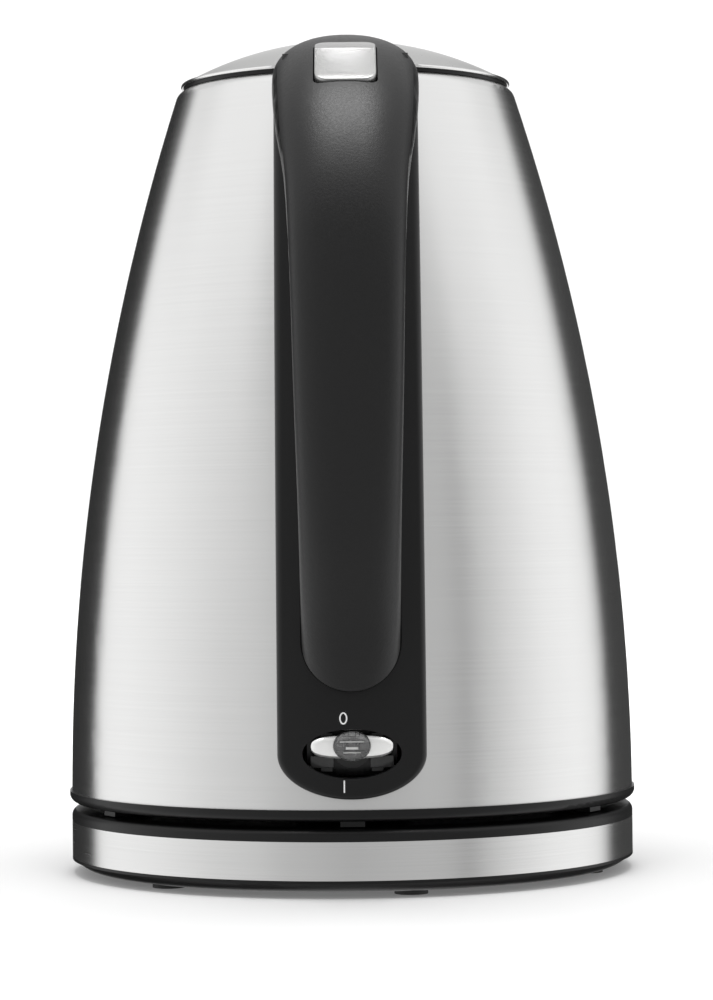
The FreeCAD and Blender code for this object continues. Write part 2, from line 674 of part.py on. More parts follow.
def parting_solid(stations):
    """Everything outside the parting surface between the grip's two halves."""
    depth = value("parting_depth")
    points = [point + inward * depth for point, inward, *_ in stations]
    points[0] = points[0] + Vector(0, 12, -0.4)
    curve = Part.BSplineCurve()
    curve.interpolate(points)
    first, last = points[0], points[-1]
    corners = [(last.y, last.z), (last.y, 20), (-150, 20), (-150, 250), (first.y, 250), (first.y, first.z)]
    edges = [curve.toShape()] + [line(a, b) for a, b in zip(corners, corners[1:])]
    return side_prism("PartingSide", edges, 30)


def button_frame():
    """Point on the handle's crown under the lid button, and its rotation."""
    turn = math.radians(value("button_angle"))
    outward = Vector(0, -math.sin(turn), math.cos(turn))
    crest = Vector(0, value("crest_y"), value("crest_centre"))
    return crest + outward * value("crest_radius"), Rotation(Vector(1, 0, 0), value("button_angle"))


def button_block(gap, depth, height):
    """Block square to the handle's crown at the button, grown by a gap."""
    point, turn = button_frame()
    half, length = value("button_half") + gap, value("button_length") / 2 + gap
    corner = point + turn.multVec(Vector(-half, value("button_shift") - length, -depth))
    item = document.addObject("Part::Box", "ButtonBlock")
    bind(item, "Length", f"2 * button_half + {2 * gap}")
    bind(item, "Width", f"button_length + {2 * gap}")
    bind(item, "Height", depth + height)
    return rounded(place(item, corner.x, corner.y, corner.z, turn), turn.multVec(Vector(0, 0, 1)),
                   value("button_corner") + gap)


def rounded(item, along, radius):
    """Round the edges of a block that run along one direction."""
    document.recompute()
    made = document.addObject("Part::Fillet", "Rounded")
    made.Base = item
    made.Edges = [(number, radius, radius) for number, edge in enumerate(item.Shape.Edges, start=1)
                  if abs(edge.tangentAt(edge.FirstParameter).dot(along)) > 0.999]
    return made


def grip_screws(gap):
    """Two screws from the finger side into the grip's outer half."""
    turn = Rotation(Vector(0, 0, 1), Vector(0, -1, 0))
    return [screw(0, y, z, 2.8 + gap, 1.4, 12, turn, 2.0) for y, z in ((-110.4, 158), (-107.4, 128))]


def make_handle():
    """Handle: an outer shell with the button hole, and an inner half with its neck."""
    stations = handle_stations()
    solid = fuse(handle_loft("HandleLoft", 0, stations), handle_root())
    low_trim = fuse(slab(30, (-150, -20), ("grip_end_level", 240)),
                    cylinder("grip_end_radius", 130, 0, -150, "grip_end_level", ALONG_Y))
    panel_room = turned("PanelRoom", [
        (0, 100), (body_at("100", "panel_depth"), 100, "arc_radius + panel_depth"),
        (body_at("shoulder_high", "panel_depth"), "shoulder_high"), ("lid_radius + 0.6", "shoulder_high"),
        ("lid_radius + 0.6", "mouth_top"), (0, "mouth_top")])
    pocket_room = turned("PocketRoom", [
        (0, 30), (body_at("30", "pocket_floor"), 30, "arc_radius + pocket_floor"),
        (body_at("110", "pocket_floor"), 110), (0, 110)])
    nose_room = slab(30, ("nose_y", -10), (215, 240))
    skin = cut(common(solid, low_trim), panel_room, pocket_room, nose_room)

    cavity = handle_loft("HandleCavity", value("grip_wall"), stations[2:-1])
    button_hole = button_block(0.3, 9, 8)
    latch_slot = fuse(slab("latch_half + 0.3", (-67.5, -30), ("latch_low - 0.2", "latch_high + 0.2")),
                      slab("latch_half + 0.4", (-94, -62.5), ("latch_foot - 0.3", 214)),
                      slab("latch_half + 0.4", (-70, -62.5), (210, "latch_high + 0.2")))
    knuckle_room = [box(sides(side, "knuckle_near - 0.3", "knuckle_far + 0.3"), (-45.2, -30), (223, 231))
                    for side in (-1, 1)]
    hollow = fuse(cavity, button_hole, latch_slot, *knuckle_room, *hinge_pin_pair())

    outside = parting_solid(stations)
    screw_turn = Rotation(Vector(0, 0, 1), Vector(0, -1, 0))
    posts = [cylinder(3.6, 12, 0, y, z, screw_turn) for y, z in ((-112.4, 158), (-109.4, 128))]
    shell = cut(skin, hollow)
    outer = fuse(common(shell, outside), common(fuse(*posts), skin))
    subpart("grip_outer", cut(outer, button_hole, *grip_screws(0)))
    seat = cylinder(3.3, 10, 0, -95.3, 188)
    inner = fuse(cut(shell, outside), seat)
    post_room = [cylinder(3.7, 14, 0, y, z, screw_turn) for y, z in ((-112.4, 158), (-109.4, 128))]
    sinks = [cylinder(2.9, 8, 0, y, z, screw_turn) for y, z in ((-104.4, 158), (-101.4, 128))]
    subpart("grip_inner", cut(inner, *post_room, *sinks))
    subpart("grip_screws", fuse(*grip_screws(0)))


def make_lid_button():
    """Silver button on the handle's crown, with the stem that works the latch."""
    crown = cylinder("crest_radius + button_proud", 60, -30, "crest_y", "crest_centre", ALONG_X)
    cap = common(button_block(0, value("button_depth"), 6), crown)
    stem = cut(slab(3, (-87, -83), (200, 218)), below_ramp("button", CONTACT_GAP))
    subpart("lid_button", fuse(cap, stem))


def below_ramp(name, lift):
    """Everything below the sliding ramp between the button's stem and the latch."""
    slope = math.tan(math.radians(value("ramp_angle")))
    level = value("latch_foot") + 2.5 + lift
    edges = [line((-80, level), (-95, level + 15 * slope)), line((-95, level + 15 * slope), (-95, 190)),
             line((-95, 190), (-70, 190)), line((-70, 190), (-70, level - 10 * slope)),
             line((-70, level - 10 * slope), (-80, level))]
    return side_prism(f"Ramp_{name}", edges, 20)


def make_latch():
    """Sliding latch from the button's stem to the lid's keeper."""
    plate = slab("latch_half", (-66, "nose_y + 0.2"), ("latch_low", "latch_high"))
    leg = slab("latch_half", (-66, -63), ("latch_foot", "latch_high"))
    foot = slab("latch_half", (-80, -66), ("latch_foot", "latch_foot + 1.6"))
    wedge = common(slab("latch_half", (-87, -78.5), ("latch_foot", 215)), below_ramp("latch", 0.0))
    subpart("latch_slider", fuse(plate, leg, foot, wedge))


def helix_spring(name, radius, wire, pitch, height, start, turn):
    """Round-wire coil spring from a start point along the turned Z axis."""
    path = Part.Wire(Part.makeHelix(pitch, height, radius).Edges)
    profile = Part.Wire([Part.makeCircle(wire, Vector(radius, 0, 0), Vector(0, 1, 0))])
    item = document.addObject("Part::Feature", name)
    item.Shape = Part.Wire(path).makePipeShell([profile], True, True)
    item.Placement = Placement(start, turn)
    return item


def make_springs():
    """Return spring of the button."""
    subpart("button_spring", helix_spring("ButtonSpring", 2.6, 0.35, 1.9, 10.4,
                                          Vector(0, -95.3, 198.4), UPRIGHT))


def make_hinge_pins():
    """Two short pins that the lid's knuckles turn on."""
    subpart("lid_hinge_pins", fuse(*hinge_pin_pair()))


# ------------------------------------------------------------------ switch

def make_switch():
    """Rocking lever with its lamp and lens, its pin and the switch block behind it."""
    front = "0 - 84.2"
    mid = "switch_level"
    pivot = ("lever_pivot_y", "switch_level")
    bar = common(oval("lever_half", "lever_rise", mid), slab(20, (front, -79), (20, 60)))
    stem = slab(4.4, (-79.5, "lever_pivot_y"), (f"{mid} - 2.6", f"{mid} + 2.6"))
    boss = cylinder(3.2, 8.8, -4.4, *pivot, ALONG_X)
    bore = cylinder(1.25, 10, -5, *pivot, ALONG_X)
    lens_hole = cylinder("lens_radius - 0.9", 10, 0, -86, mid, ALONG_Y)
    lever = cut(fuse(bar, stem, boss), bore, lens_hole)
    lens_barrel = cylinder("lens_radius - 0.9", 3.2, 0, -84.2, mid, ALONG_Y)
    dome = document.addObject("Part::Sphere", "LensDome")
    bind(dome, "Radius", "lens_radius + 1.2")
    place(dome, 0, "0 - 84.2 + lens_radius - 0.6", 0)
    bind(dome, ".Placement.Base.z", mid)
    lens = fuse(cut(dome, slab(20, (-84.2, -60), (20, 60))), lens_barrel)
    legs = [cylinder(0.3, 0.9, x, -77.2, mid, ALONG_Y) for x in (-0.9, 0.9)]
    lamp = fuse(cylinder(1.8, 3.6, 0, -80.8, mid, ALONG_Y), *legs)
    centre = Vector(0, value("lever_pivot_y"), value("switch_level"))
    for label, item in (("switch_lever", lever), ("switch_lens", lens), ("indicator_lamp", lamp)):
        turn = Rotation(Vector(1, 0, 0), -value("lever_tilt"))
        item.Placement = Placement(Vector(), turn, centre)
        subpart(label, item)
    subpart("lever_pin", cylinder(1.2, 20, -10, *pivot, ALONG_X))
    ears = [box((x, x + 3), (-77, -66), ("switch_level - 5", "switch_level + 5")) for x in (-8.2, 5.2)]
    block = slab(12, (-66, -52), ("switch_level - 7", "switch_level + 5"))
    pin_hole = cylinder(1.2, 20, -10, *pivot, ALONG_X)
    subpart("switch_unit", cut(fuse(block, *ears), pin_hole))
    subpart("steam_disc", cylinder(5, 0.5, 0, -66.5, "switch_level", ALONG_Y))


def check_and_write():
    """Stop on any failed object, then write each sub-part to its own file."""
    document.recompute()
    failed = [item.Name for item in document.Objects
              if "Invalid" in item.State or "Error" in item.State]
    for label, item in subparts.items():
        shape = item.Shape
        if shape.isNull() or not shape.isValid() or not shape.Solids or shape.Volume <= 0:
            failed.append(label)
    if failed:
        raise RuntimeError(f"These objects are not sound: {failed}")
    os.makedirs("parts", exist_ok=True)
    for label, item in subparts.items():
        item.Shape.exportStep(f"parts/{label}.step")
        print(f"{label:22s} {len(item.Shape.Solids)} solid(s) {item.Shape.Volume / 1000:9.2f} cm3")


def main():
    """Build every sub-part of the kettle and write the files."""
    fill_sheet()
    make_base_covers()
    make_cord_gland()
    make_feet()
    make_base_screws()
    make_base_connector()
    make_jug_connector()
    make_body()
    make_filter()
    make_mouth_ring()
    make_bottom_ring()
    make_heater()
    make_control_unit()
    make_lid()
    make_panel()
    make_handle()
    make_lid_button()
    make_latch()
    make_springs()
    make_hinge_pins()
    make_switch()
    check_and_write()


main()
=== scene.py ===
"""Looks of a cordless electric kettle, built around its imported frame."""

import logging
import math
from dataclasses import dataclass, field
from enum import Enum
from typing import Callable, Iterable, Sequence

import bmesh
import bpy
from mathutils import Matrix, Vector


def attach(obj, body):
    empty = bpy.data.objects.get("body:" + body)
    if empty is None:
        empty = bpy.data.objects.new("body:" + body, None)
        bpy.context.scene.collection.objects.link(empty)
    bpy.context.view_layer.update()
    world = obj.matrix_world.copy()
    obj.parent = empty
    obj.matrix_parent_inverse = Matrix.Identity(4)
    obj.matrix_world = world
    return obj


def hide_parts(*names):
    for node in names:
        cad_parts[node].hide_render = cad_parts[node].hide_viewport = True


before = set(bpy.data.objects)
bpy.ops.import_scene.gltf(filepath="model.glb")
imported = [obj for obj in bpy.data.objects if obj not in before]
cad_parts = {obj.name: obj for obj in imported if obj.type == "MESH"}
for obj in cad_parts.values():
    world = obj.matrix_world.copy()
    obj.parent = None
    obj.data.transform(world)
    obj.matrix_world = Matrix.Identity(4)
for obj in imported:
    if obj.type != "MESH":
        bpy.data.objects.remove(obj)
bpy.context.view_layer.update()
LOG = logging.getLogger("kettle")
MM = 0.001
JUG_RADIUS, ARC_RADIUS, ARC_LEVEL = 80.0, 650.0, 20.0
PANEL_DEPTH = 4.0
BRUSH_TURN = 0.25
FINE_SHARE, BROAD_SHARE, BROAD_SCALE = 0.7, 0.3, 28.0
NOISE_LOW, NOISE_HIGH = 0.3, 0.7
RELIEF_DEPTH = 0.0002


class Grain(Enum):
    """Which way a finish's fine structure runs."""

    AROUND = "around"
    EVEN = "even"


@dataclass(frozen=True)
class Finish:
    """One surface finish of the kettle, made as a procedural material."""

    name: str
    colour: tuple[float, float, float]
    metallic: float = 0.0
    roughness: float = 0.4
    variation: float = 0.04
    roughness_spread: float = 0.05
    grain: Grain = Grain.EVEN
    grain_scale: float = 900.0
    bump: float = 0.05
    anisotropy: float = 0.0
    specular: float = 0.5
    transmission: float = 0.0
    ior: float = 1.5
    coat: float = 0.0

    def material(self) -> bpy.types.Material:
        """Build the material, or return it if it is there already.

        Returns:
            The node material of this finish.
        """
        known = bpy.data.materials.get(self.name)
        if known:
            return known
        made = bpy.data.materials.new(self.name)
        made.use_nodes = True
        tree = made.node_tree
        shader = tree.nodes["Principled BSDF"]
        shader.inputs["Metallic"].default_value = self.metallic
        shader.inputs["Anisotropic"].default_value = self.anisotropy
        shader.inputs["Anisotropic Rotation"].default_value = BRUSH_TURN if self.anisotropy else 0.0
        shader.inputs["Specular IOR Level"].default_value = self.specular
        shader.inputs["Transmission Weight"].default_value = self.transmission
        shader.inputs["IOR"].default_value = self.ior
        shader.inputs["Coat Weight"].default_value = self.coat
        self._paint(tree, shader)
        return made

    def _paint(self, tree: bpy.types.NodeTree, shader: bpy.types.Node) -> None:
        """Link colour, roughness and bump noise on Object coordinates to the shader.

        Args:
            tree: The material's node tree.
            shader: Its principled shader node.
        """
        place = tree.nodes.new("ShaderNodeTexCoord")
        stretch = tree.nodes.new("ShaderNodeMapping")
        stretch.inputs["Scale"].default_value = self._stretch()
        tree.links.new(place.outputs["Object"], stretch.inputs["Vector"])
        fine = tree.nodes.new("ShaderNodeTexNoise")
        fine.inputs["Scale"].default_value = self.grain_scale
        fine.inputs["Detail"].default_value = 3.0
        tree.links.new(stretch.outputs["Vector"], fine.inputs["Vector"])
        broad = tree.nodes.new("ShaderNodeTexNoise")
        broad.inputs["Scale"].default_value = BROAD_SCALE
        broad.inputs["Detail"].default_value = 2.0
        tree.links.new(place.outputs["Object"], broad.inputs["Vector"])
        blend = tree.nodes.new("ShaderNodeMath")
        blend.operation = "MULTIPLY_ADD"
        blend.inputs[1].default_value = FINE_SHARE
        tree.links.new(fine.outputs["Fac"], blend.inputs[0])
        share = tree.nodes.new("ShaderNodeMath")
        share.operation = "MULTIPLY"
        share.inputs[1].default_value = BROAD_SHARE
        tree.links.new(broad.outputs["Fac"], share.inputs[0])
        tree.links.new(share.outputs["Value"], blend.inputs[2])
        tint = tree.nodes.new("ShaderNodeValToRGB")
        low, high = 1.0 - self.variation, 1.0 + self.variation
        tint.color_ramp.elements[0].position = NOISE_LOW
        tint.color_ramp.elements[1].position = NOISE_HIGH
        tint.color_ramp.elements[0].color = (*(part * low for part in self.colour), 1.0)
        tint.color_ramp.elements[1].color = (*(min(part * high, 1.0) for part in self.colour), 1.0)
        tree.links.new(blend.outputs["Value"], tint.inputs["Fac"])
        tree.links.new(tint.outputs["Color"], shader.inputs["Base Color"])
        polish = tree.nodes.new("ShaderNodeMapRange")
        polish.inputs["From Min"].default_value = NOISE_LOW
        polish.inputs["From Max"].default_value = NOISE_HIGH
        polish.inputs["To Min"].default_value = max(self.roughness - self.roughness_spread, 0.02)
        polish.inputs["To Max"].default_value = self.roughness + self.roughness_spread
        tree.links.new(blend.outputs["Value"], polish.inputs["Value"])
        tree.links.new(polish.outputs["Result"], shader.inputs["Roughness"])
        if self.bump > 0:
            relief = tree.nodes.new("ShaderNodeBump")
            relief.inputs["Strength"].default_value = self.bump
            relief.inputs["Distance"].default_value = RELIEF_DEPTH
            tree.links.new(fine.outputs["Fac"], relief.inputs["Height"])
            tree.links.new(relief.outputs["Normal"], shader.inputs["Normal"])

    def _stretch(self) -> tuple[float, float, float]:
        """Scale of the grain along X, Y and Z."""
        if self.grain is Grain.AROUND:
            return (0.02, 0.02, 4.0)
        return (1.0, 1.0, 1.0)


@dataclass(frozen=True)
class Palette:
    """Every finish on the kettle."""

    body_steel: Finish = Finish("brushed_jug_steel", (0.77, 0.77, 0.765), 1.0, 0.25, 0.022, 0.02,
                                Grain.AROUND, 700.0, 0.02, anisotropy=0.8)
    band_steel: Finish = Finish("brushed_band_steel", (0.75, 0.75, 0.745), 1.0, 0.25, 0.035, 0.03,
                                Grain.AROUND, 700.0, 0.03, anisotropy=0.8)
    lid_steel: Finish = Finish("satin_lid_steel", (0.53, 0.53, 0.525), 1.0, 0.30, 0.02, 0.03,
                               Grain.EVEN, 1200.0, 0.01)
    rim_steel: Finish = Finish("polished_lid_rim", (0.86, 0.86, 0.855), 1.0, 0.14, 0.02, 0.03,
                               Grain.EVEN, 900.0, 0.01)
    inner_steel: Finish = Finish("rolled_inner_steel", (0.60, 0.60, 0.59), 1.0, 0.35, 0.05, 0.08)
    black_satin: Finish = Finish("satin_black_moulding", (0.004, 0.004, 0.0042), 0.0, 0.34, 0.12, 0.05,
                                 Grain.EVEN, 1400.0, 0.10, specular=0.30)
    grip_black: Finish = Finish("grained_black_grip", (0.005, 0.005, 0.0052), 0.0, 0.42, 0.15, 0.06,
                                Grain.EVEN, 1500.0, 0.2, specular=0.38)
    black_gloss: Finish = Finish("gloss_black_moulding", (0.006, 0.006, 0.0063), 0.0, 0.18, 0.08, 0.04,
                                 Grain.EVEN, 900.0, 0.02, specular=0.5)
    silver_paint: Finish = Finish("satin_silver_button", (0.44, 0.44, 0.435), 0.85, 0.20, 0.03, 0.03,
                                  Grain.EVEN, 1800.0, 0.008)
    lever_bright: Finish = Finish("bright_lever", (0.9, 0.9, 0.89), 0.35, 0.2, 0.02, 0.04,
                                  Grain.EVEN, 900.0, 0.02)
    clear: Finish = Finish("moulded_clear_lens", (0.97, 0.97, 0.97), 0.0, 0.04, 0.01, 0.015,
                           Grain.EVEN, 300.0, 0.02, transmission=1.0, ior=1.49)
    neon: Finish = Finish("neon_glass", (0.80, 0.55, 0.40), 0.0, 0.15, 0.05, 0.05,
                          Grain.EVEN, 400.0, 0.02, transmission=0.5)
    rubber: Finish = Finish("black_rubber", (0.02, 0.02, 0.02), 0.0, 0.7, 0.12, 0.08,
                            Grain.EVEN, 1500.0, 0.15)
    silicone: Finish = Finish("grey_silicone", (0.42, 0.42, 0.41), 0.0, 0.5, 0.05, 0.06)
    aluminium: Finish = Finish("cast_aluminium", (0.72, 0.72, 0.73), 1.0, 0.45, 0.06, 0.08)
    element: Finish = Finish("heat_dulled_sheath", (0.36, 0.33, 0.29), 1.0, 0.5, 0.2, 0.1)
    brass: Finish = Finish("plated_contact_brass", (0.72, 0.52, 0.25), 1.0, 0.25, 0.06, 0.06)
    beige: Finish = Finish("heat_proof_moulding", (0.60, 0.55, 0.46), 0.0, 0.5, 0.05, 0.05)
    mark_white: Finish = Finish("printed_white_mark", (0.82, 0.82, 0.82), 0.0, 0.5, 0.02, 0.03)
    reflector: Finish = Finish("grey_reflector", (0.20, 0.20, 0.20), 0.6, 0.25, 0.08, 0.05)
    smoked: Finish = Finish("smoked_ledge", (0.05, 0.05, 0.05), 0.0, 0.15, 0.1, 0.03)
    zinc: Finish = Finish("zinc_plated_screw", (0.62, 0.62, 0.60), 1.0, 0.35, 0.06, 0.08)


PALETTE = Palette()


def dress(piece: bpy.types.Object, finish: Finish) -> None:
    """Give a piece one finish all over.

    Args:
        piece: The mesh object.
        finish: The finish it takes.
    """
    piece.data.materials.clear()
    piece.data.materials.append(finish.material())


def lone(piece: bpy.types.Object) -> bpy.types.Object:
    """Make one object the only selected and active one.

    Args:
        piece: The object.

    Returns:
        The same object.
    """
    bpy.ops.object.select_all(action="DESELECT")
    piece.select_set(True)
    bpy.context.view_layer.objects.active = piece
    return piece


def named(name: str) -> bpy.types.Object:
    """Give the primitive that was just added its name.

    Args:
        name: The piece's name.

    Returns:
        The new object.
    """
    piece = bpy.context.object
    piece.name = name
    piece.data.name = name
    return lone(piece)


def block(name: str, size: Sequence[float], middle: Sequence[float]) -> bpy.types.Object:
    """Add a box by its size and middle.

    Args:
        name: The piece's name.
        size: Its lengths in millimetres.
        middle: Its middle in millimetres.

    Returns:
        The new object, with its place and size in its mesh.
    """
    bpy.ops.object.select_all(action="DESELECT")
    bpy.ops.mesh.primitive_cube_add(size=1.0, location=[part * MM for part in middle])
    piece = named(name)
    piece.scale = [part * MM for part in size]
    bpy.ops.object.transform_apply(location=True, rotation=True, scale=True)
    return piece


def pick(piece: bpy.types.Object, kind: str, test: Callable[..., bool]) -> None:
    """In edit mode, select the vertices, edges or faces that pass a test.

    Args:
        piece: The object, in edit mode.
        kind: VERT, EDGE or FACE.
        test: What the chosen elements pass.
    """
    bpy.ops.mesh.select_mode(type=kind)
    bpy.ops.mesh.select_all(action="DESELECT")
    mesh = bmesh.from_edit_mesh(piece.data)
    elements = {"VERT": mesh.verts, "EDGE": mesh.edges, "FACE": mesh.faces}[kind]
    for element in elements:
        if test(element):
            element.select_set(True)
    mesh.select_flush_mode()
    bmesh.update_edit_mesh(piece.data)


def reshape(piece: bpy.types.Object, move: Callable[[Vector], Vector]) -> None:
    """Move every vertex of a piece by a rule.

    Args:
        piece: The mesh object.
        move: Gives a vertex's new place from its old one.
    """
    for vertex in piece.data.vertices:
        vertex.co = move(vertex.co.copy())
    piece.data.update()


def tidy_mesh(piece: bpy.types.Object, smooth_angle: float = 35.0) -> None:
    """Merge doubles, point the faces outwards and shade the piece smooth by angle.

    Args:
        piece: The mesh object.
        smooth_angle: Edges sharper than this stay crisp, in degrees.
    """
    lone(piece)
    bpy.ops.object.mode_set(mode="EDIT")
    bpy.ops.mesh.select_all(action="SELECT")
    bpy.ops.mesh.remove_doubles(threshold=0.00001)
    bpy.ops.mesh.normals_make_consistent(inside=False)
    bpy.ops.object.mode_set(mode="OBJECT")
    bpy.ops.object.shade_smooth_by_angle(angle=math.radians(smooth_angle))


def settle(piece: bpy.types.Object, matrix: Matrix) -> None:
    """Put a piece made at the origin in its place, with the place in its mesh.

    Args:
        piece: The mesh object.
        matrix: Where it goes.
    """
    piece.matrix_world = matrix @ piece.matrix_world
    lone(piece)
    bpy.ops.object.transform_apply(location=True, rotation=True, scale=True)


def carve(piece: bpy.types.Object, cutter: bpy.types.Object) -> None:
    """Cut one piece with another, and remove the cutter.

    Args:
        piece: The piece that is cut.
        cutter: The closed piece that cuts it.
    """
    lone(piece)
    cut = piece.modifiers.new("Cut", "BOOLEAN")
    cut.operation = "DIFFERENCE"
    cut.solver = "EXACT"
    cut.object = cutter
    bpy.ops.object.modifier_apply(modifier=cut.name)
    bpy.data.objects.remove(cutter, do_unlink=True)


def soften(piece: bpy.types.Object, width: float, segments: int, angle: float = 40.0) -> None:
    """Round a piece's sharp edges with a bevel.

    Args:
        piece: The mesh object.
        width: The bevel's width in millimetres.
        segments: How many faces go round the bevel.
        angle: Edges sharper than this are rounded, in degrees.
    """
    lone(piece)
    bevel = piece.modifiers.new("Soften", "BEVEL")
    bevel.width = width * MM
    bevel.segments = segments
    bevel.limit_method = "ANGLE"
    bevel.angle_limit = math.radians(angle)
    bpy.ops.object.modifier_apply(modifier=bevel.name)


def hand_over(piece: bpy.types.Object, finish: Finish, body: str, slot: str,
              *nodes: str) -> None:
    """Dress a finished piece and tie it to the frame.

    Args:
        piece: The mesh object.
        finish: Its finish.
        body: The body that it rides on.
        slot: The record's material slot; not used.
        nodes: The frame's nodes that it stands for.
    """
    dress(piece, finish)
    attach(piece, body)
    if nodes:
        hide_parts(*nodes)
    LOG.info("built %s", piece.name)


def jug_radius(level: float) -> float:
    """Outer radius of the jug.

    Args:
        level: Height above the table in millimetres.

    Returns:
        The radius in millimetres.
    """
    return JUG_RADIUS - ARC_RADIUS + math.sqrt(ARC_RADIUS ** 2 - (level - ARC_LEVEL) ** 2)


@dataclass
class LidButton:
    """Silver thumb button on the handle's crown, with a raised fold near its top.

    The sizes are in millimetres, along the crown's tangent (length) and off it (height).
    """

    crest_y: float = -56.5
    crest_centre: float = 160.0
    crest_radius: float = 69.5
    turn: float = 33.5
    half: float = 7.95
    low_end: float = -10.55
    fold: float = 4.9
    high_end: float = 11.95
    low_height: float = -0.25
    fold_height: float = 1.0
    high_height: float = -0.6
    floor: float = -3.2
    corner: float = 3.4

    def build(self) -> None:
        """Model the button and hand it over."""
        piece = block("lid_button_cap", (2 * self.half, self.high_end - self.low_end, -self.floor),
                      (0, (self.low_end + self.high_end) / 2, self.floor / 2))
        self._fold(piece)
        self._round_corners(piece)
        soften(piece, 0.9, 6, 9.0)
        tidy_mesh(piece, 50.0)
        self._place(piece)
        hand_over(piece, PALETTE.silver_paint, "button", "silver_plastic", "lid_button")

    def _fold(self, piece: bpy.types.Object) -> None:
        """Split the block at the fold and give its top the folded profile."""
        bpy.ops.object.mode_set(mode="EDIT")
        bpy.ops.mesh.select_all(action="SELECT")
        bpy.ops.mesh.bisect(plane_co=(0, self.fold * MM, 0), plane_no=(0, 1, 0))
        bpy.ops.object.mode_set(mode="OBJECT")

        def folded(place: Vector) -> Vector:
            if place.z > self.floor / 2 * MM:
                heights = ((self.low_end, self.low_height), (self.fold, self.fold_height),
                           (self.high_end, self.high_height))
                nearest = min(heights, key=lambda pair: abs(pair[0] * MM - place.y))
                place.z = nearest[1] * MM
            return place

        reshape(piece, folded)

    def _round_corners(self, piece: bpy.types.Object) -> None:
        """Round the four upright corners."""
        bpy.ops.object.mode_set(mode="EDIT")
        pick(piece, "EDGE", lambda edge: self._is_corner(edge))
        bpy.ops.mesh.bevel(offset=self.corner * MM, segments=8)
        bpy.ops.object.mode_set(mode="OBJECT")

    def _is_corner(self, edge: bmesh.types.BMEdge) -> bool:
        """Tell whether an edge is one of the four upright corners."""
        start, end = edge.verts[0].co, edge.verts[1].co
        upright = abs(start.y - end.y) < 1e-6 and abs(start.x - end.x) < 1e-6
        return upright and abs(abs(start.x) - self.half * MM) < 1e-5 and not (
            abs(start.y - self.fold * MM) < 1e-5)

    def _place(self, piece: bpy.types.Object) -> None:
        """Turn the button onto the crown."""
        turn = math.radians(self.turn)
        spot = Vector((0, self.crest_y - self.crest_radius * math.sin(turn),
                       self.crest_centre + self.crest_radius * math.cos(turn))) * MM
        settle(piece, Matrix.Translation(spot) @ Matrix.Rotation(turn, 4, "X"))


@dataclass
class LidRim:
    """Polished rolled edge of the lid, left out where the handle's head fills the notch.

    The sizes are in millimetres.
    """

    radius: float = 46.62
    thickness: float = 0.45
    level: float = 223.62
    cut_at: float = -42.5

    def build(self) -> None:
        """Model the rim and hand it over."""
        bpy.ops.object.select_all(action="DESELECT")
        bpy.ops.mesh.primitive_torus_add(major_segments=256, minor_segments=16,
                                         major_radius=self.radius * MM,
                                         minor_radius=self.thickness * MM,
                                         location=(0, 0, self.level * MM))
        piece = named("lid_rim")
        bpy.ops.object.transform_apply(location=True, rotation=True, scale=True)
        bpy.ops.object.mode_set(mode="EDIT")
        bpy.ops.mesh.select_all(action="SELECT")
        bpy.ops.mesh.bisect(plane_co=(0, self.cut_at * MM, 0), plane_no=(0, 1, 0), use_fill=True,
                            clear_inner=True)
        bpy.ops.object.mode_set(mode="OBJECT")
        tidy_mesh(piece)
        hand_over(piece, PALETTE.rim_steel, "lid", "lid_steel")


